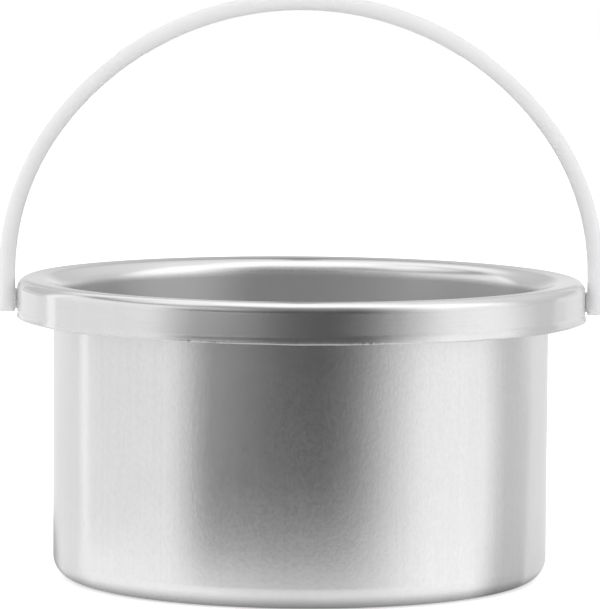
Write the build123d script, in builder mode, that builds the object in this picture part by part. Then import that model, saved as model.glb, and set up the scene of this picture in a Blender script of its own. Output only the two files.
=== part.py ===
from build123d import *
import math
import os

# A wax pot: a spun aluminium pot whose rolled rim ends in a skirt, and a white moulded bail
# that snaps into the skirt. Millimetres, +Z up, origin at the centre of the base's underside.
# The bail's pegs lie along X, and its arch stands in the XZ plane.

# Pot
body_diameter = 107.0  # outside of the straight wall
sheet_thickness = 0.9
pot_height = 64.85
base_corner_radius = 4.6  # outside of the bottom corner
mouth_radius = 4.4  # inside wall to crest
crest_width = 2.0  # flat ring at the top of the rim
shoulder_radius = 2.4  # crest to skirt, outside
skirt_height = 8.5  # crest to cut edge
flare_height = 1.6  # lowest stretch of the skirt, which turns outwards
flare_reach = 0.25
edge_radius = 0.2  # rounding of the skirt's cut edge

# Bail
pivot_rise = 3.5  # pivot axis above the skirt's cut edge
bail_thickness = 3.5  # in the plane of the arch
bail_depth = 5.6  # across the plane of the arch
arch_flattening = 2.25  # how much larger the top's inside radius is than half the arms' spread
arch_half_angle = 55.0  # degrees from the top to where the rounder sides begin
arm_drop = 2.85  # pivot axis to the arm's end
arm_end_share = 0.625  # radius of the arm's end, seen from the side, as a share of its depth
arm_edge_radius = 0.4  # rounding round the arm's end
boss_diameter = 4.3  # shoulder that spaces the arm off the skirt
boss_blend_radius = 0.25  # rounding where the shoulder meets the arm
peg_diameter = 3.2
barb_step = 0.4  # how far the barb stands out past the peg
barb_length = 2.2
barb_tip_share = 0.75  # radius of the barb's tip, as a share of the peg's
slit_width = 0.8  # lets the two halves of the barb close up

# Fits
peg_clearance = 0.06  # radial, peg in hole
arm_gap = 0.55  # skirt to arm
side_clearance = 0.15  # skirt to the shoulder on the arm
barb_clearance = 0.3  # inside of the skirt to the barb
arch_clearance = 1.35  # skirt to the middle of the arch, when the bail lies flat
cut_overrun = 1.0  # how far a cutting shape runs past what it cuts

# Places that follow from the sizes
body_radius = body_diameter / 2
inner_radius = body_radius - sheet_thickness
crest_start = inner_radius + mouth_radius
crest_end = crest_start + crest_width
skirt_radius = crest_end + shoulder_radius
skirt_inside = skirt_radius - sheet_thickness
pivot_height = pot_height - skirt_height + pivot_rise
arm_inside = skirt_radius + arm_gap
arm_outside = arm_inside + bail_thickness
arm_middle = arm_inside + bail_thickness / 2

os.makedirs("parts", exist_ok=True)


def rim_outline(inset):
    """The rim's upper surface in section, or the surface that lies inset below it."""
    mouth_center = (crest_start, pot_height - mouth_radius)
    shoulder_center = (crest_end, pot_height - shoulder_radius)
    face = skirt_radius - inset
    flare_top = pot_height - skirt_height + flare_height
    flare_radius = (flare_height**2 + flare_reach**2) / (2 * flare_reach) + inset
    flare_angle = 2 * math.degrees(math.atan(flare_reach / flare_height))
    with BuildLine() as outline:
        CenterArc(mouth_center, mouth_radius - inset, 180, -90)
        Line((crest_start, pot_height - inset), (crest_end, pot_height - inset))
        CenterArc(shoulder_center, shoulder_radius - inset, 90, -90)
        Line((face, pot_height - shoulder_radius), (face, flare_top))
        CenterArc((face + flare_radius, flare_top), flare_radius, 180, flare_angle)
    return outline.line


# Pot: one section of sheet turned about the axis
upper_rim = rim_outline(0)
under_rim = rim_outline(sheet_thickness)
corner_start = body_radius - base_corner_radius
corner_center = (corner_start, base_corner_radius)

with BuildPart() as pot:
    with BuildSketch(Plane.XZ) as section:
        with BuildLine():
            add(upper_rim)
            Line(upper_rim @ 1, under_rim @ 1)
            add(under_rim)
            Line(under_rim @ 0, (body_radius, base_corner_radius))
            CenterArc(corner_center, base_corner_radius, 0, -90)
            Line((corner_start, 0), (0, 0))
            Line((0, 0), (0, sheet_thickness))
            Line((0, sheet_thickness), (corner_start, sheet_thickness))
            CenterArc(corner_center, base_corner_radius - sheet_thickness, -90, 90)
            Line((inner_radius, base_corner_radius), upper_rim @ 0)
        make_face()
        for rim_end in (upper_rim @ 1, under_rim @ 1):
            fillet(section.vertices().sort_by_distance(rim_end)[0], edge_radius)
    revolve(axis=Axis.Z)
    # One hole for the bail on each side of the skirt
    for side in (-1, 1):
        with BuildSketch(Plane.YZ.offset(side * (skirt_inside - cut_overrun))):
            with Locations((0, pivot_height)):
                Circle(peg_diameter / 2 + peg_clearance)
        extrude(amount=side * (sheet_thickness + 2 * cut_overrun), mode=Mode.SUBTRACT)
pot.part.label = "pot"
export_step(pot.part, "parts/pot.step")

# Bail: a rounded bar along an arch of three arcs with straight ends
half_bar = bail_thickness / 2
half_angle_sine = math.sin(math.radians(arch_half_angle))
half_angle_cosine = math.cos(math.radians(arch_half_angle))
arch_radius = arm_inside + arch_flattening
arch_center = (0, pivot_height + skirt_radius + arch_clearance - arch_radius)
side_radius = (arm_inside - arch_radius * half_angle_sine) / (1 - half_angle_sine)
side_reach = (arch_radius - side_radius) * half_angle_sine
side_height = arch_center[1] + (arch_radius - side_radius) * half_angle_cosine
side_sweep = 90 - arch_half_angle
bar_start = pivot_height - arm_drop - cut_overrun
arm_end_radius = bail_depth * arm_end_share

# Shoulder, peg and barb in half section: distance from the pot's axis, radius about the pivot
peg_radius = peg_diameter / 2
shoulder_face = skirt_radius + side_clearance
barb_start = skirt_inside - barb_clearance
barb_tip = barb_start - barb_length
peg_section = [
    (barb_tip, 0),
    (barb_tip, peg_radius * barb_tip_share),
    (barb_start, peg_radius + barb_step),
    (barb_start, peg_radius),
    (shoulder_face, peg_radius),
    (shoulder_face, boss_diameter / 2),
    (arm_middle, boss_diameter / 2),
    (arm_middle, 0),
]

with BuildPart() as bail_handle:
    with BuildLine(Plane.XZ) as spine:
        Line((-arm_middle, bar_start), (-arm_middle, side_height))
        CenterArc((-side_reach, side_height), side_radius + half_bar, 180, -side_sweep)
        CenterArc(arch_center, arch_radius + half_bar, 90 + arch_half_angle, -2 * arch_half_angle)
        CenterArc((side_reach, side_height), side_radius + half_bar, side_sweep, -side_sweep)
        Line((arm_middle, side_height), (arm_middle, bar_start))
    with BuildSketch(Plane((-arm_middle, 0, bar_start))):
        SlotOverall(bail_depth, bail_thickness, rotation=90)
    sweep(path=spine.line)
    # Each arm ends in an arc, seen from the side, with a rounded edge
    with BuildSketch(Plane.YZ):
        with Locations((0, pivot_height)):
            Rectangle(
                bail_depth + 2 * cut_overrun,
                arm_drop + 2 * cut_overrun,
                align=(Align.CENTER, Align.MAX),
            )
        with Locations((0, pivot_height - arm_drop + arm_end_radius)):
            Circle(arm_end_radius, mode=Mode.SUBTRACT)
    extrude(amount=arm_outside + cut_overrun, both=True, mode=Mode.SUBTRACT)
    end_edges = bail_handle.edges(Select.LAST).filter_by(GeomType.LINE, reverse=True)
    fillet(end_edges, arm_edge_radius)
    # Turned shoulder, peg and barb on each arm, with a slit that splits peg and barb
    for side in (-1, 1):
        with BuildSketch(Plane.XZ):
            with BuildLine():
                Polyline([(side * reach, pivot_height + radius) for reach, radius in peg_section], close=True)
            make_face()
        revolve(axis=Axis((0, 0, pivot_height), (1, 0, 0)))
        fillet(bail_handle.edges(Select.NEW), boss_blend_radius)
        with Locations((side * (barb_tip + shoulder_face) / 2, 0, pivot_height)):
            Box(shoulder_face - barb_tip, boss_diameter, slit_width, mode=Mode.SUBTRACT)
bail_handle.part.label = "bail_handle"
export_step(bail_handle.part, "parts/bail_handle.step")
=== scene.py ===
import math

import bpy
import numpy as np
from mathutils import Matrix, Vector


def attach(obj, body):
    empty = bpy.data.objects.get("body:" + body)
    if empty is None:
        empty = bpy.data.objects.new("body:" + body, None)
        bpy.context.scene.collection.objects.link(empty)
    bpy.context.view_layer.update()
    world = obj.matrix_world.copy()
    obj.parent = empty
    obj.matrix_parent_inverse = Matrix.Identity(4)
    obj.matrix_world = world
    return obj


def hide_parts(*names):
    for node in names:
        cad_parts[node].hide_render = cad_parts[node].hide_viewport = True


# Spun aluminium wax pot with a white moulded bail, seen from the -Y side. Metres throughout.

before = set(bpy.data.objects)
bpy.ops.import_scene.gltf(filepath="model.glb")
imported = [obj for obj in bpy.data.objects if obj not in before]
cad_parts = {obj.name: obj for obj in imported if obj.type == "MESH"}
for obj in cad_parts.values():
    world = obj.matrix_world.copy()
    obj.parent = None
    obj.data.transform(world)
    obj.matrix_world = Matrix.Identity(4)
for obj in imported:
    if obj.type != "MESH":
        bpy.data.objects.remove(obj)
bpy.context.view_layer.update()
scene = bpy.context.scene
scene.view_settings.view_transform = "Standard"
print("frame loaded:", ", ".join(sorted(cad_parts)))


class Value:
    # One output socket. Arithmetic on it adds Math nodes to the same tree.
    def __init__(self, sheet, socket):
        self.sheet = sheet
        self.socket = socket

    def calc(self, operation, *terms):
        return self.sheet.add("ShaderNodeMath", {"operation": operation}, dict(enumerate(terms)))

    def __add__(self, other):
        return self.calc("ADD", self, other)

    def __radd__(self, other):
        return self.calc("ADD", other, self)

    def __sub__(self, other):
        return self.calc("SUBTRACT", self, other)

    def __rsub__(self, other):
        return self.calc("SUBTRACT", other, self)

    def __mul__(self, other):
        return self.calc("MULTIPLY", self, other)

    def __rmul__(self, other):
        return self.calc("MULTIPLY", other, self)

    def __truediv__(self, other):
        return self.calc("DIVIDE", self, other)

    def __rtruediv__(self, other):
        return self.calc("DIVIDE", other, self)

    def __abs__(self):
        return self.calc("ABSOLUTE", self)


class NodeSheet:
    # A node tree that starts empty. make() makes every node: type, settings first, then sockets.
    def __init__(self, tree):
        self.tree = tree
        tree.nodes.clear()

    def make(self, kind, settings=None, sockets=None):
        node = self.tree.nodes.new(kind)
        for name, setting in (settings or {}).items():
            setattr(node, name, setting)
        for name, given in (sockets or {}).items():
            if isinstance(given, Value):
                self.tree.links.new(given.socket, node.inputs[name])
            else:
                node.inputs[name].default_value = given
        return node

    def add(self, kind, settings=None, sockets=None, output=0):
        # A node of which one output is used
        return Value(self, self.make(kind, settings, sockets).outputs[output])

    def ramp(self, value, low, high):
        # 0 where value is at low, 1 where it is at high, with an eased step between
        return self.add(
            "ShaderNodeMapRange",
            {"interpolation_type": "SMOOTHSTEP"},
            {"Value": value, "From Min": low, "From Max": high},
        )

    def mixColor(self, factor, first, second):
        return self.add(
            "ShaderNodeMix",
            {"data_type": "RGBA", "clamp_factor": True},
            {"Factor": factor, 6: first, 7: second},
            output=2,
        )

    def split(self, vector):
        node = self.make("ShaderNodeSeparateXYZ", {}, {0: vector})
        return [Value(self, out) for out in node.outputs]

    def lightPath(self, name):
        return self.add("ShaderNodeLightPath", output=name)

    def mirrorRay(self):
        # 1 for the metal's reflections, 0 for light that goes on to a dull surface by way of the metal
        direct = self.ramp(self.lightPath("Diffuse Depth"), 1.0, 0.0)
        return self.lightPath("Is Glossy Ray") * direct

    def noise(self, place, stretch, detail=2.0, roughness=0.6):
        # Smooth noise, 0 to 1, whose cells measure about 1 / stretch along each axis
        scaled = self.add("ShaderNodeVectorMath", {"operation": "MULTIPLY"}, {0: place, 1: stretch})
        return self.add(
            "ShaderNodeTexNoise",
            {"noise_dimensions": "3D"},
            {"Vector": scaled, "Scale": 1.0, "Detail": detail, "Roughness": roughness},
        )


def grey(level):
    return (level, level, level, 1.0)


def newMaterial(name):
    material = bpy.data.materials.new(name)
    material.use_nodes = True
    return material, NodeSheet(material.node_tree)


# Satin aluminium. Stretches are cells per metre along X, Y and Z.
metalLook = {
    "darkTone": (0.757, 0.757, 0.763, 1.0),
    "lightTone": (0.842, 0.842, 0.845, 1.0),
    "insideTone": (0.77, 0.77, 0.775, 1.0),
    "edgeSpeckTone": (0.25, 0.25, 0.26, 1.0),
    "wallRoughness": 0.18,
    "rimRoughness": 0.13,
    "insideRoughness": 0.44,
    "roughnessParts": (0.05, 0.04, 0.12),  # how it varies with the grain and the clouds, more at the cut
    "anisotropy": 1.0,
    "quarterTurn": 0.25,  # the lay runs round the pot, so reflections spread up and down
    "grainStretch": (2400.0, 2400.0, 1300.0),
    "coarseStretch": (1400.0, 1400.0, 950.0),
    "drawStretch": (900.0, 900.0, 14.0),
    "cloudStretch": (70.0, 70.0, 45.0),
    "turnedStretch": (25.0, 25.0, 2600.0),
    "fineShare": 0.65,  # share of the fine grain in the speckle, the rest is coarse
    "speckleRange": (0.34, 0.66),
    "toneParts": (0.225, 0.45, 0.25, 0.30),  # even tone, speckle, lines, clouds
    "toneRange": (0.25, 0.75),
    "edgeSpeckCoarse": 0.6,  # coarse grain added to the fine one to place the dark specks
    "edgeSpeckRange": (0.78, 0.70),
    "overlay": 0.8,  # how fully the inside's tone and the dark specks cover the metal's own tone
    "bumpHeight": 0.00001,
    "bumpParts": (0.8, 1.4, 0.06, 0.06),  # fine grain, coarse grain, drawn lines, turned lines
    "insideCalm": 0.75,  # share of the grain's bump that the inside lacks
    "rimCalm": {"tone": 0.75, "roughness": 0.6, "bump": 0.88, "scatter": 0.7},  # what the rim lacks
    "scatterRoughness": 0.65,
    "scatterShare": (0.03, 0.30),  # share of steep grains: on the whole, and how it varies
}


def makeSatinAluminium(look):
    material, sheet = newMaterial("satin_aluminium_spun")
    place = sheet.add("ShaderNodeTexCoord", output="Object")
    polish, inside, turnedShare, cut, specked, along = (
        sheet.add("ShaderNodeAttribute", {"attribute_name": name}, output="Fac")
        for name in ("polish", "inside", "turnedShare", "cutShare", "edgeSpeckShare", "along")
    )
    x, y = sheet.split(place)[:2]
    # Rings and lines that run round the pot follow the length along its section
    ringPlace = sheet.add("ShaderNodeCombineXYZ", {}, {0: x, 1: y, 2: along})
    grain = sheet.noise(place, look["grainStretch"])
    coarse = sheet.noise(place, look["coarseStretch"])
    drawn = sheet.noise(place, look["drawStretch"])
    cloud = sheet.noise(place, look["cloudStretch"], detail=3.0)
    turned = sheet.noise(ringPlace, look["turnedStretch"])
    lines = drawn + turnedShare * (turned - drawn)
    mixed = look["fineShare"] * grain + (1.0 - look["fineShare"]) * coarse
    speckle = sheet.ramp(mixed, *look["speckleRange"]) - 0.5
    calm = look["rimCalm"]
    even, speckled, lined, clouded = look["toneParts"]
    tone = even + speckled * speckle * (1.0 - calm["tone"] * polish) + lined * lines + clouded * cloud
    # Dark specks of colour on the cut edge, over a few stretches round the pot
    edgeSpeck = sheet.ramp(grain + look["edgeSpeckCoarse"] * coarse, *look["edgeSpeckRange"]) * specked
    color = sheet.mixColor(sheet.ramp(tone, *look["toneRange"]), look["darkTone"], look["lightTone"])
    color = sheet.mixColor(look["overlay"] * inside, color, look["insideTone"])
    color = sheet.mixColor(look["overlay"] * edgeSpeck, color, look["edgeSpeckTone"])
    rough = look["wallRoughness"] + (look["rimRoughness"] - look["wallRoughness"]) * polish
    rough = rough + (look["insideRoughness"] - look["wallRoughness"]) * inside
    grainy, cloudy, cutMore = look["roughnessParts"]
    rough = rough + grainy * (grain - 0.5) * (1.0 - calm["roughness"] * polish)
    rough = rough + cloudy * (cloud - 0.5) + cutMore * cut
    fineBump, coarseBump, drawnBump, turnedBump = look["bumpParts"]
    height = fineBump * grain + coarseBump * coarse
    height = height * (1.0 - calm["bump"] * polish) * (1.0 - look["insideCalm"] * inside)
    height = height + drawnBump * drawn * (1.0 - turnedShare) + turnedBump * turned * turnedShare
    bump = sheet.add(
        "ShaderNodeBump", {}, {"Strength": 1.0, "Distance": look["bumpHeight"], "Height": height}
    )
    # A few grains stand steeply and send light from all round into the dark reflections
    scattered = sheet.add(
        "ShaderNodeBsdfPrincipled",
        {},
        {"Base Color": color, "Metallic": 1.0, "Roughness": look["scatterRoughness"]},
    )
    least, spread = look["scatterShare"]
    steep = (least + spread * (mixed - 0.5)) * (1.0 - calm["scatter"] * polish)
    shader = sheet.add(
        "ShaderNodeBsdfPrincipled",
        {},
        {
            "Base Color": color,
            "Metallic": 1.0,
            "Roughness": rough,
            "Anisotropic": look["anisotropy"],
            "Anisotropic Rotation": look["quarterTurn"],
            "Normal": bump,
        },
    )
    shader = sheet.add("ShaderNodeMixShader", {}, {"Fac": steep, 1: shader, 2: scattered})
    sheet.make("ShaderNodeOutputMaterial", {}, {"Surface": shader})
    return material


# White moulded plastic
plasticLook = {
    "darkerTone": (0.835, 0.835, 0.84, 1.0),
    "lightTone": (0.885, 0.885, 0.885, 1.0),
    "roughness": 0.38,
    "roughnessParts": (0.10, 0.08),  # how it varies with the flow pattern and the grain
    "refraction": 1.48,
    "flowStretch": (55.0, 140.0, 55.0),
    "grainStretch": (3200.0, 3200.0, 3200.0),
    "flowShare": 0.8,  # share of the flow pattern in the tone, the rest is grain
    "toneRange": (0.3, 0.7),
    "depthShare": 0.9,  # share of the light that sinks in, which evens out the shaded side
    "depth": 0.0055,
    "seamHalf": 0.00009,  # half width of the faint mould seam round the arch
    "bumpHeight": 0.000012,
    "bumpStrength": 0.6,
    "bumpParts": (0.35, 1.5),  # grain, seam
}


def makeWhitePlastic(look):
    material, sheet = newMaterial("white_plastic_moulded")
    place = sheet.add("ShaderNodeTexCoord", output="Object")
    y = sheet.split(place)[1]
    flow = sheet.noise(place, look["flowStretch"], detail=3.0, roughness=0.55)
    grain = sheet.noise(place, look["grainStretch"], roughness=0.5)
    seam = sheet.ramp(abs(y), look["seamHalf"], 0.0)
    mixed = look["flowShare"] * flow + (1.0 - look["flowShare"]) * grain
    tone = sheet.ramp(mixed, *look["toneRange"])
    color = sheet.mixColor(tone, look["darkerTone"], look["lightTone"])
    flowing, grainy = look["roughnessParts"]
    rough = look["roughness"] + flowing * (flow - 0.5) + grainy * (grain - 0.5)
    grainBump, seamBump = look["bumpParts"]
    height = grainBump * grain + seamBump * seam
    bump = sheet.add(
        "ShaderNodeBump",
        {},
        {"Strength": look["bumpStrength"], "Distance": look["bumpHeight"], "Height": height},
    )
    shader = sheet.add(
        "ShaderNodeBsdfPrincipled",
        {},
        {
            "Base Color": color,
            "Roughness": rough,
            "IOR": look["refraction"],
            "Subsurface Weight": look["depthShare"],
            "Subsurface Radius": (1.0, 1.0, 1.0),
            "Subsurface Scale": look["depth"],
            "Normal": bump,
        },
    )
    sheet.make("ShaderNodeOutputMaterial", {}, {"Surface": shader})
    return material


def dress(node, material):
    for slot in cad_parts[node].material_slots:
        slot.material = material


# Pot: a closed section of sheet turned about the axis, its skirt trimmed a little unevenly
potShape = {
    "wallRadius": 0.0535,
    "sheet": 0.0009,
    "height": 0.0647,
    "cornerRadius": 0.0046,
    "mouthRadius": 0.0040,
    "crestEnd": 0.0592,
    "crestLean": 4.0,  # degrees by which the crest falls towards the mouth
    "shoulderRadius": 0.0022,
    "skirtHeight": 0.00835,
    "flareHeight": 0.0016,
    "flareReach": 0.00025,
    "edgeRadius": 0.0002,
    "holeHeight": 0.05985,
    "holeRadius": 0.00166,
    "holeCell": 0.0004,  # grid spacing round the peg holes
    "holeCells": 4,  # cells from a hole's middle to its rim
    "columns": 150,  # columns between the two fine bands, on each side
    "rows": {
        "bottom": 9,
        "cornerInside": 14,
        "wallInside": 26,
        "mouth": 30,
        "crest": 4,
        "shoulder": 24,
        "flare": 7,
        "edge": 5,
        "shoulderInside": 14,
        "crestUnder": 3,
        "neck": 18,
        "wall": 28,
        "corner": 20,
    },
    "hold": 0.00012,  # extra rows this close to the ends of straight stretches keep the shading true
    "poleRadius": 0.004,  # ring round the axis that the closing fans start from
    "polishTurn": 32.0,  # degrees that the mouth turns from the wall before it is as smooth as the rim
    "trimLength": 0.00008,  # how much further down the skirt is cut than drawn
    "trimTilt": 0.00007,  # how much longer than that it is at +X
    "edgeSpeckSpots": ((251.0, 5.0), (283.0, 3.0), (20.0, 6.0), (132.0, 5.0)),  # degrees: middle, half width
    "trimWaves": ((7, 0.3, 0.00004), (13, 2.2, 0.00003), (31, 1.0, 0.000018)),  # count, phase, size
    "flareTilt": 0.00014,  # how much more the skirt flares at +X than drawn
    "wallWaves": ((2, 0.4, 0.031, 0.00003), (3, 1.9, 0.047, 0.00002), (5, 0.9, 0.075, 0.000012)),
    "swaySpan": (0.006, 0.054),  # heights between which the wall sways
    "skirtShare": 1.05,  # past this many wall radii a point belongs to the rim or the skirt
    "facePolish": 0.8,  # how smooth the skirt is, where the rim is 1
}


def straightRun(start, end, count, hold):
    # Points on a straight line from start: the first one, then count evenly spaced between the held ends
    start, end = np.array(start), np.array(end)
    margin = hold / np.linalg.norm(end - start)
    share = np.concatenate([[0.0], np.linspace(margin, 1.0 - margin, count)])[:, None]
    return (1.0 - share) * start + share * end


def arcRun(center, radius, first, last, count):
    # Points on a circle from the first angle towards the last, which the next run begins with
    angle = np.radians(first + (last - first) * np.arange(count) / count)
    return np.stack([center[0] + radius * np.cos(angle), center[1] + radius * np.sin(angle)], 1)


def potSection(shape):
    # Radius and height along the closed section, from the middle of the bottom inside, over the rim,
    # round the skirt's cut edge and down the outside to the middle of the base
    sheet, hold, pole = shape["sheet"], shape["hold"], shape["poleRadius"]
    wall, corner, top = shape["wallRadius"], shape["cornerRadius"], shape["height"]
    mouth, bend = shape["mouthRadius"], shape["shoulderRadius"]
    inside = wall - sheet
    floorEnd = wall - corner
    bendAt = (shape["crestEnd"], top - bend)
    lean = math.radians(shape["crestLean"])
    crestOut = np.array(bendAt) + bend * np.array([-math.sin(lean), math.cos(lean)])
    mouthOut = inside + mouth * (1.0 - math.sin(lean))
    crestIn = np.array([mouthOut, crestOut[1] - (crestOut[0] - mouthOut) * math.tan(lean)])
    mouthAt = (inside + mouth, crestIn[1] - mouth * math.cos(lean))
    under = sheet * np.array([math.sin(lean), -math.cos(lean)])
    turnEnd = 90.0 + shape["crestLean"]
    face = bendAt[0] + bend
    flareTop = top - shape["skirtHeight"] + shape["flareHeight"]
    flareRadius = (shape["flareHeight"] ** 2 + shape["flareReach"] ** 2) / (2.0 * shape["flareReach"])
    flareAt = (face + flareRadius, flareTop)
    flareTurn = 2.0 * math.degrees(math.atan(shape["flareReach"] / shape["flareHeight"]))
    edge = shape["edgeRadius"]
    last = 180.0 + flareTurn
    outward = -np.array([math.cos(math.radians(last)), math.sin(math.radians(last))])
    downward = np.array([outward[1], -outward[0]])
    outerTip = np.array(flareAt) - flareRadius * outward
    innerTip = outerTip - sheet * outward
    outerEdgeAt = outerTip - edge * (outward + downward)
    innerEdgeAt = innerTip + edge * (outward - downward)
    tipTurn = math.degrees(math.atan2(outward[1], outward[0]))
    # The flare stops short of its tip by the rounding of the cut edge
    outerLast = last - math.degrees(edge / flareRadius)
    innerLast = last - math.degrees(edge / (flareRadius + sheet))
    cells, rows = shape["holeCells"], shape["rows"]
    faceRows = shape["holeHeight"] + shape["holeCell"] * np.arange(cells + 2, -cells - 1, -1)
    faceRows = np.concatenate([[bendAt[1]], faceRows])
    runs = {
        "bottomInside": straightRun((pole, sheet), (floorEnd, sheet), rows["bottom"], hold),
        "cornerInside": arcRun((floorEnd, corner), corner - sheet, -90.0, 0.0, rows["cornerInside"]),
        "wallInside": straightRun((inside, corner), (inside, mouthAt[1]), rows["wallInside"], hold),
        "mouth": arcRun(mouthAt, mouth, 180.0, turnEnd, rows["mouth"]),
        "crest": straightRun(crestIn, crestOut, rows["crest"], hold),
        "shoulder": arcRun(bendAt, bend, turnEnd, 0.0, rows["shoulder"]),
        "face": np.stack([np.full(len(faceRows), face), faceRows], 1),
        "flare": arcRun(flareAt, flareRadius, 180.0, outerLast, rows["flare"]),
        "edgeOutside": arcRun(outerEdgeAt, edge, tipTurn, tipTurn - 90.0, rows["edge"]),
        "edgeInside": arcRun(innerEdgeAt, edge, tipTurn - 90.0, tipTurn - 180.0, rows["edge"]),
        "flareInside": arcRun(flareAt, flareRadius + sheet, innerLast, 180.0, rows["flare"]),
        "faceInside": np.stack(
            [np.full(len(faceRows), face - sheet), np.append(flareTop, faceRows[:0:-1])], 1
        ),
        "shoulderInside": arcRun(bendAt, bend - sheet, 0.0, turnEnd, rows["shoulderInside"]),
        "crestUnder": straightRun(crestOut + under, crestIn + under, rows["crestUnder"], hold),
        "neck": arcRun(mouthAt, mouth - sheet, turnEnd, 180.0, rows["neck"]),
        "wall": straightRun((wall, mouthAt[1]), (wall, corner), rows["wall"], hold),
        "corner": arcRun((floorEnd, corner), corner, 0.0, -90.0, rows["corner"]),
        "base": straightRun((floorEnd, 0.0), (pole, 0.0), rows["bottom"], hold),
    }
    section = np.concatenate(list(runs.values()))
    zone = np.repeat(list(runs), [len(run) for run in runs.values()])
    return section, zone, flareTop, mouthAt[1]


def potColumns(shape, face):
    # Angles of the columns: a fine band of equal steps at each peg hole, wider steps between them
    cells = shape["holeCells"] + 1
    fine = np.arcsin(shape["holeCell"] * np.arange(-cells, cells + 1) / face)
    wide = np.linspace(fine[-1], np.pi - fine[-1], shape["columns"] + 2)[1:-1]
    half = np.concatenate([fine, wide])
    return np.concatenate([half, half + np.pi]), cells


def potSurface(shape, section, zone, flareTop, turn):
    # The section at each angle of turn: its radius times the angle's cosine and sine, and its height.
    # The skirt's lowest stretch is longer and flares more towards +X, with small waves in its cut edge.
    onSkirt = section[:, 0] > shape["skirtShare"] * shape["wallRadius"]
    trimmed = np.clip((flareTop - section[:, 1]) / shape["flareHeight"], 0.0, 1.0) * onSkirt
    trim = shape["trimLength"] + shape["trimTilt"] * np.cos(turn)
    for count, phase, size in shape["trimWaves"]:
        trim = trim + size * np.sin(count * turn + phase)
    height = section[:, 1] - trimmed * trim
    radius = section[:, 0] + trimmed * shape["flareTilt"] * np.cos(turn)
    # Both faces of the wall sway together by a few hundredths of a millimetre, none of it near the ends
    onWall = np.isin(zone, ["wall", "wallInside"])
    low, high = shape["swaySpan"]
    share = np.clip((section[:, 1] - low) / (high - low), 0.0, 1.0)
    sway = np.zeros_like(radius)
    for count, phase, pitch, size in shape["wallWaves"]:
        sway = sway + size * np.sin(count * turn + phase + section[:, 1] * 2.0 * np.pi / pitch)
    radius = radius + onWall * np.sin(np.pi * share) ** 2 * sway
    return np.stack([radius * np.cos(turn), radius * np.sin(turn), height], 2)


def openPegHoles(shape, section, zone, points, index, bandHalf):
    # The square of cells round each pivot is opened, and the points of its rim move onto a circle.
    # Gives the opened cells, and the faces that join a hole's outer rim to its inner one.
    cells = shape["holeCells"]
    step = np.arange(-cells, cells)
    rimColumn = np.concatenate([step, np.full(2 * cells, cells), -step, np.full(2 * cells, -cells)])
    rimRow = np.concatenate([np.full(2 * cells, -cells), step, np.full(2 * cells, cells), -step])
    rimAngle = np.arctan2(rimRow, rimColumn)
    across = shape["holeRadius"] * np.cos(rimAngle)
    up = shape["holeHeight"] + shape["holeRadius"] * np.sin(rimAngle)
    opened = np.zeros(index.shape, bool)
    bridges = []
    for side, middle in ((1.0, bandHalf), (-1.0, len(index) // 2 + bandHalf)):
        rims = []
        # Rows run down the skirt's outside and up its inside
        for name, rising in (("face", -1), ("faceInside", 1)):
            skin = np.flatnonzero(zone == name)
            middleRow = skin[np.argmin(abs(section[skin, 1] - shape["holeHeight"]))]
            column = middle + rimColumn
            row = middleRow + rising * rimRow
            out = np.sqrt(section[skin[0], 0] ** 2 - across**2)
            points[column, row] = np.stack([side * out, side * across, up], 1)
            first = middleRow - cells
            opened[middle - cells:middle + cells, first:first + 2 * cells] = True
            rims.append(index[column, row])
        outer, inner = rims
        bridges.append(np.stack([outer, inner, np.roll(inner, -1), np.roll(outer, -1)], 1))
    return opened, np.concatenate(bridges)


def potFinishes(shape, section, zone, mouthLow, turn):
    # Length along the section, and shares for the finish: smooth rim, dull inside, lines that run round
    # the pot, cut edge and its dark specks
    along = np.concatenate([[0.0], np.cumsum(np.linalg.norm(np.diff(section, axis=0), axis=1))])
    mouthRise = np.clip((section[:, 1] - mouthLow) / shape["mouthRadius"], 0.0, 1.0)
    smooth = np.clip(np.degrees(np.arcsin(mouthRise)) / shape["polishTurn"], 0.0, 1.0)
    smooth = smooth * smooth * (3.0 - 2.0 * smooth)
    inside = np.isin(zone, ["bottomInside", "cornerInside", "wallInside", "mouth"]) * (1.0 - smooth)
    rim = np.isin(zone, ["crest", "shoulder"]) + (zone == "mouth") * smooth
    rim = rim + shape["facePolish"] * np.isin(zone, ["face", "flare"])
    cut = np.isin(zone, ["edgeOutside", "edgeInside"]).astype(float)
    specked = np.zeros_like(turn)
    for middle, half in shape["edgeSpeckSpots"]:
        offset = (np.degrees(turn) - middle + 180.0) % 360.0 - 180.0
        # Full over the inner half of the stretch, none from half as far again as its end
        specked = np.maximum(specked, np.clip(1.5 - abs(offset) / half, 0.0, 1.0))
    return {
        "along": along,
        "polish": rim,
        "inside": inside,
        "turnedShare": 1.0 - np.isin(zone, ["wall", "wallInside"]),
        "cutShare": cut,
        "edgeSpeckShare": cut * specked,
    }


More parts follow.
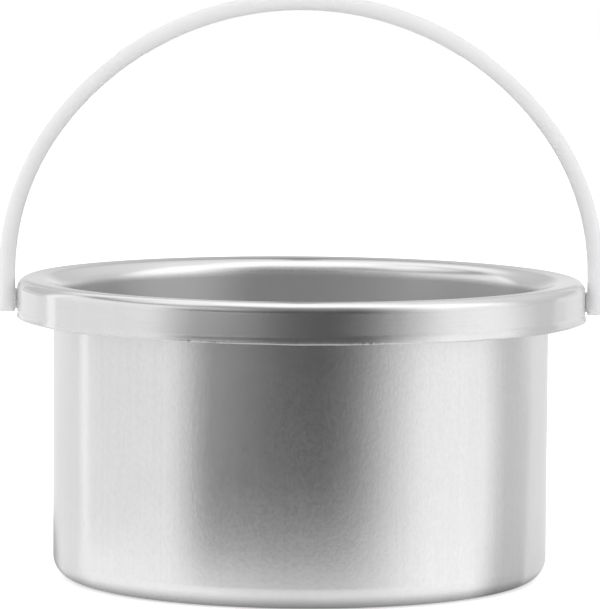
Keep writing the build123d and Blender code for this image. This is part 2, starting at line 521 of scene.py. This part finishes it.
def makePot(shape, material):
    section, zone, flareTop, mouthLow = potSection(shape)
    angle, bandHalf = potColumns(shape, section[zone == "face"][0, 0])
    turn = angle[:, None]
    points = potSurface(shape, section, zone, flareTop, turn)
    columns, rows = points.shape[:2]
    index = np.arange(columns * rows).reshape(columns, rows)
    opened, bridges = openPegHoles(shape, section, zone, points, index, bandHalf)
    after = np.roll(index, -1, axis=0)
    quads = np.stack([index[:, :-1], index[:, 1:], after[:, 1:], after[:, :-1]], 2)
    quads = np.concatenate([quads[~opened[:, :-1]], bridges])
    # A point on the axis closes the bottom inside and the base
    poles = [[0.0, 0.0, shape["sheet"]], [0.0, 0.0, 0.0]]
    vertices = np.concatenate([points.reshape(-1, 3), poles])
    poleInside, poleBase = len(vertices) - 2, len(vertices) - 1
    fans = np.concatenate([
        np.stack([np.full(columns, poleInside), index[:, 0], after[:, 0]], 1),
        np.stack([np.full(columns, poleBase), after[:, -1], index[:, -1]], 1),
    ])
    # Points inside the holes belong to no face and go
    used = np.zeros(len(vertices), bool)
    used[quads] = True
    used[fans] = True
    renumber = np.cumsum(used) - 1
    mesh = bpy.data.meshes.new("pot_skin")
    mesh.from_pydata(vertices[used].tolist(), [], renumber[quads].tolist() + renumber[fans].tolist())
    mesh.shade_smooth()
    for name, values in potFinishes(shape, section, zone, mouthLow, turn).items():
        values = np.broadcast_to(values, (columns, rows))
        full = np.concatenate([values.ravel(), values[0, [0, -1]]])[used]
        attribute = mesh.attributes.new(name, "FLOAT", "POINT")
        attribute.data.foreach_set("value", full.astype(np.float32))
    # The rims of the peg holes stay sharp
    onRim = np.zeros(len(vertices), bool)
    onRim[bridges] = True
    ends = np.empty(2 * len(mesh.edges), np.int32)
    mesh.edges.foreach_get("vertices", ends)
    sharp = mesh.attributes.new("sharp_edge", "BOOLEAN", "EDGE")
    sharp.data.foreach_set("value", onRim[used][ends.reshape(-1, 2)].all(1))
    mesh.materials.append(material)
    mesh.validate()
    pot = bpy.data.objects.new("pot_skin", mesh)
    scene.collection.objects.link(pot)
    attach(pot, "pot")
    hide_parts("pot")
    print("pot turned:", len(mesh.vertices), "points,", len(mesh.polygons), "faces")


makePot(potShape, makeSatinAluminium(metalLook))
dress("bail_handle", makeWhitePlastic(plasticLook))
print("finishes set")


# Studio: a white table, light panels left and right, a soft light overhead, a dim room in front.
# The metal alone reflects the panels, and all else gets a plain light, a little weaker from in front.
# Azimuths are degrees from the camera's side, positive to the picture's right.
studio = {
    "tableHalf": 3.0,
    "tableDrop": 0.00005,  # keeps the table off the base
    "tableTone": 0.86,
    "tableLift": 0.55,  # what the camera sees on top of that, which makes the table white
    "bounce": 0.25,  # light that the table adds to what stands on it
    "plainLevel": 1.0,
    "frontDim": 0.24,  # how much weaker the plain light is from straight in front
    "frontRange": (-0.25, -0.95),  # where that begins and where it is full, along Y
    "roomTone": 0.102,
    "overhead": (52.0, 76.0, 0.90),  # height where it begins, height where it is full, level
    "overheadGlow": (8.0, 66.0, 0.28),
    "brightest": 1.3,
    "nearTone": 0.50,
    "nearReach": (0.063, 0.029),  # how far the light round the pot reaches from the wall, softness
    "farTable": (0.62, 0.08),  # where the near table passes into the far one, softness
    "contact": (-0.004, 0.003, 0.46),  # shade under the corner: from, to, level left
    "tableGlow": 0.5,  # share of the table's reflected light that the pot's shadow doesn't touch
}

# Panels in the air: left and right edge, softness of each, level, lowest and highest height, softness
airPanels = {
    "right": (43.0, 99.0, 23.0, 12.0, 0.92, -90.0, 68.0, 6.0),
    "rightHigh": (58.0, 102.0, 14.0, 8.0, 0.16, 22.0, 60.0, 6.0),
    "rightRear": (99.0, 190.0, 12.0, 1.0, 0.55, -90.0, 61.0, 7.0),
    "left": (-128.0, -52.0, 3.0, 12.0, 0.80, -90.0, 37.0, 7.0),
    "leftHigh": (-125.0, -56.0, 9.0, 20.0, 0.57, 46.0, 64.0, 6.0),
    "leftGlow": (-52.0, -23.0, 12.0, 21.0, 0.42, 12.0, 42.0, 6.0),
    "leftLow": (-60.0, -24.0, 10.0, 23.0, 0.14, -90.0, 3.0, 2.5),
    "leftStrip": (-124.3, -117.4, 1.2, 1.2, 0.18, -90.0, 30.0, 8.0),
    "horizonRight": (126.0, 190.0, 4.0, 1.0, 0.20, -90.0, 10.0, 5.0),
    "horizonLeft": (-190.0, -129.0, 1.0, 3.0, 0.16, -90.0, 9.0, 5.0),
    "rearLeftHigh": (-168.0, -138.0, 4.0, 8.0, 0.30, 35.0, 66.0, 6.0),
    "rearLeft": (-190.0, -128.0, 1.0, 3.0, 0.50, -90.0, 60.0, 8.0),
    "behindRight": (174.0, 190.0, 5.0, 1.0, -0.05, -90.0, 61.0, 7.0),
    "gapRight": (178.2, 190.0, 1.6, 1.0, -0.46, 18.0, 58.0, 4.0),  # dark gap straight behind
    "gapLeft": (-190.0, -178.2, 1.0, 1.6, -0.46, 18.0, 58.0, 4.0),
}

# Light on the table round the pot, further off, and far away: left and right edge, softness of each,
# level. Close to the pot azimuths run on past 180 degrees, and both sides end in the same level there.
nearPanels = {
    "wide": (-172.0, 100.0, 14.0, 13.0, 0.48),
    "left": (-128.0, -33.0, 12.0, 32.0, 0.22),
    "right": (40.0, 97.0, 32.0, 10.0, 0.26),
    "rightRear": (98.0, 138.0, 9.0, 6.0, 0.14),
    "rearRight": (138.0, 400.0, 5.0, 1.0, 0.35),
    "rearLeft": (-400.0, -200.0, 1.0, 14.0, 0.35),
}
tablePanels = {
    "left": (-400.0, -53.0, 1.0, 15.0, 0.80),
    "leftTail": (-60.0, -32.0, 8.0, 10.0, 0.06),
    "leftStrip": (-124.3, -117.4, 1.2, 1.2, 0.20),
    "right": (36.0, 102.0, 29.0, 11.0, 0.97),
    "rightRear": (99.0, 400.0, 12.0, 1.0, 0.57),
    "rearRight": (136.0, 400.0, 4.0, 1.0, 0.18),
    "rearLeft": (-400.0, -200.0, 1.0, 14.0, -0.05),
}
farPanels = {
    "left": (-164.0, -24.0, 5.0, 42.0, 0.78),
    "leftGlow": (-47.0, -15.0, 9.0, 14.0, 0.27),
    "leftStrip": (-124.3, -117.4, 1.2, 1.2, 0.20),
    "rearLeft": (-162.0, -134.0, 4.0, 4.0, 0.12),
    "behindLeft": (-400.0, -164.0, 1.0, 5.0, 0.50),
    "right": (54.0, 92.0, 27.0, 10.0, 0.94),
    "rightRear": (95.0, 400.0, 12.0, 1.0, 0.60),
    "rearRight": (123.0, 156.0, 4.0, 7.0, 0.24),
    "behindRight": (177.0, 400.0, 7.0, 1.0, -0.10),
}


def panelShare(sheet, azimuth, edges):
    # 1 between the panel's two edges, eased to 0 over each edge's softness
    left, right, softLeft, softRight = (math.radians(angle) for angle in edges)
    rising = sheet.ramp(azimuth, left - softLeft, left + softLeft)
    return rising * sheet.ramp(azimuth, right + softRight, right - softRight)


def makeWorld(settings, panels):
    world = bpy.data.worlds.new("studio_light")
    scene.world = world
    world.use_nodes = True
    sheet = NodeSheet(world.node_tree)
    x, y, z = sheet.split(sheet.add("ShaderNodeTexCoord", output="Generated"))
    azimuth = x.calc("ARCTAN2", x, -1.0 * y)
    height = z.calc("ARCSINE", z)
    reflected = settings["roomTone"]
    for low, high, level in (settings["overhead"], settings["overheadGlow"]):
        reflected = reflected + level * sheet.ramp(height, math.radians(low), math.radians(high))
    for *edges, level, bottom, top, soft in panels.values():
        bottom, top, soft = (math.radians(angle) for angle in (bottom, top, soft))
        share = panelShare(sheet, azimuth, edges) * sheet.ramp(height, top + soft, top - soft)
        share = share * sheet.ramp(height, bottom - soft, bottom + soft)
        reflected = reflected + level * share
    reflected = reflected.calc("MINIMUM", reflected, settings["brightest"])
    isCamera = sheet.lightPath("Is Camera Ray")
    isMirror = sheet.mirrorRay()
    plain = settings["plainLevel"] - settings["frontDim"] * sheet.ramp(y, *settings["frontRange"])
    shown = plain + isMirror * (reflected - plain)
    shown = shown + isCamera * (1.0 - shown)
    background = sheet.add("ShaderNodeBackground", {}, {"Color": grey(1.0), "Strength": shown})
    sheet.make("ShaderNodeOutputWorld", {}, {"Surface": background})


def tableLight(sheet, azimuth, tone, panels):
    # A tone all round, with each panel's level added over its share
    for *edges, level in panels.values():
        tone = tone + level * panelShare(sheet, azimuth, edges)
    return tone


def makeWhiteTop(settings, nearBy, onTable, farAway, wallRadius):
    material, sheet = newMaterial("white_table")
    x, y = sheet.split(sheet.add("ShaderNodeTexCoord", output="Object"))[:2]
    squared = x * x + y * y
    gap = squared.calc("SQRT", squared) - wallRadius
    # A mirror ray from the wall heads further round than the place where it meets the table
    azimuth = x.calc("ARCTAN2", x, -1.0 * y)
    outward = gap.calc("MAXIMUM", gap, 0.0)
    azimuth = azimuth * 2.0 * (wallRadius + outward) / (wallRadius + 2.0 * outward)
    # In reflections the table is bright near the pot, then carries the panels' light, then that of
    # the distance
    reflected = tableLight(sheet, azimuth, settings["roomTone"], onTable)
    beyond = tableLight(sheet, azimuth, settings["roomTone"], farAway)
    edge, softEdge = settings["farTable"]
    reflected = reflected + sheet.ramp(gap, edge - softEdge, edge + softEdge) * (beyond - reflected)
    around = tableLight(sheet, azimuth, settings["nearTone"], nearBy)
    reach, soft = settings["nearReach"]
    reflected = reflected + sheet.ramp(gap, reach + soft, reach - soft) * (around - reflected)
    shadeFrom, shadeTo, left = settings["contact"]
    reflected = reflected * (left + (1.0 - left) * sheet.ramp(gap, shadeFrom, shadeTo))
    isMirror = sheet.mirrorRay()
    isCamera = sheet.lightPath("Is Camera Ray")
    tone = settings["tableTone"]
    glow = settings["tableGlow"]
    lit = tone + isMirror * ((1.0 - glow) * reflected - tone)
    color = sheet.add("ShaderNodeCombineColor", {}, {0: lit, 1: lit, 2: lit})
    diffuse = sheet.add("ShaderNodeBsdfDiffuse", {}, {"Color": color})
    lift = isCamera * settings["tableLift"] + isMirror * (glow * reflected)
    lift = lift + sheet.lightPath("Is Diffuse Ray") * settings["bounce"]
    brighter = sheet.add("ShaderNodeEmission", {}, {"Color": grey(1.0), "Strength": lift})
    both = sheet.add("ShaderNodeAddShader", {}, {0: diffuse, 1: brighter})
    # Clear from below, so that the underside of the pot can be looked at
    below = sheet.add("ShaderNodeNewGeometry", output="Backfacing")
    clear = sheet.add("ShaderNodeBsdfTransparent")
    surface = sheet.add("ShaderNodeMixShader", {}, {"Fac": below, 1: both, 2: clear})
    sheet.make("ShaderNodeOutputMaterial", {}, {"Surface": surface})
    return material


def makeTable(settings, material):
    half, low = settings["tableHalf"], -settings["tableDrop"]
    mesh = bpy.data.meshes.new("white_table")
    corners = [(-half, -half, low), (half, -half, low), (half, half, low), (-half, half, low)]
    mesh.from_pydata(corners, [], [(0, 1, 2, 3)])
    mesh.materials.append(material)
    table = bpy.data.objects.new("white_table", mesh)
    scene.collection.objects.link(table)


makeWorld(studio, airPanels)
makeTable(studio, makeWhiteTop(studio, nearPanels, tablePanels, farPanels, potShape["wallRadius"]))
print("studio lit")

# Camera fitted to the outlines of the photograph
view = {
    "distance": 1.0427,
    "elevation": 5.122,
    "roll": -0.421,
    "aimHeight": 0.05892,
    "aimShift": 1.18,  # pixels by which the pot's axis lies right of the middle
    "pixelsPerMetre": 4618.0,
    "picture": (600, 609),
    "sensor": 36.0,
    "clip": (0.01, 50.0),
}


def makeCamera(settings):
    lens = bpy.data.cameras.new("photo_view")
    camera = bpy.data.objects.new("photo_view", lens)
    scene.collection.objects.link(camera)
    rise = math.radians(settings["elevation"])
    roll = math.radians(settings["roll"])
    ahead = Vector((0.0, math.cos(rise), -math.sin(rise)))
    right = Vector((1.0, 0.0, 0.0))
    up = right.cross(ahead)
    turnedRight = math.cos(roll) * right - math.sin(roll) * up
    turnedUp = math.sin(roll) * right + math.cos(roll) * up
    eye = Vector((0.0, 0.0, settings["aimHeight"])) - settings["distance"] * ahead
    axes = Matrix((turnedRight, turnedUp, -ahead)).transposed().to_4x4()
    camera.matrix_world = Matrix.Translation(eye) @ axes
    longSide = max(settings["picture"])
    lens.sensor_width = settings["sensor"]
    lens.lens = settings["pixelsPerMetre"] * settings["distance"] * settings["sensor"] / longSide
    lens.shift_x = -settings["aimShift"] / longSide
    lens.clip_start, lens.clip_end = settings["clip"]
    scene.camera = camera


makeCamera(view)
print("camera set")
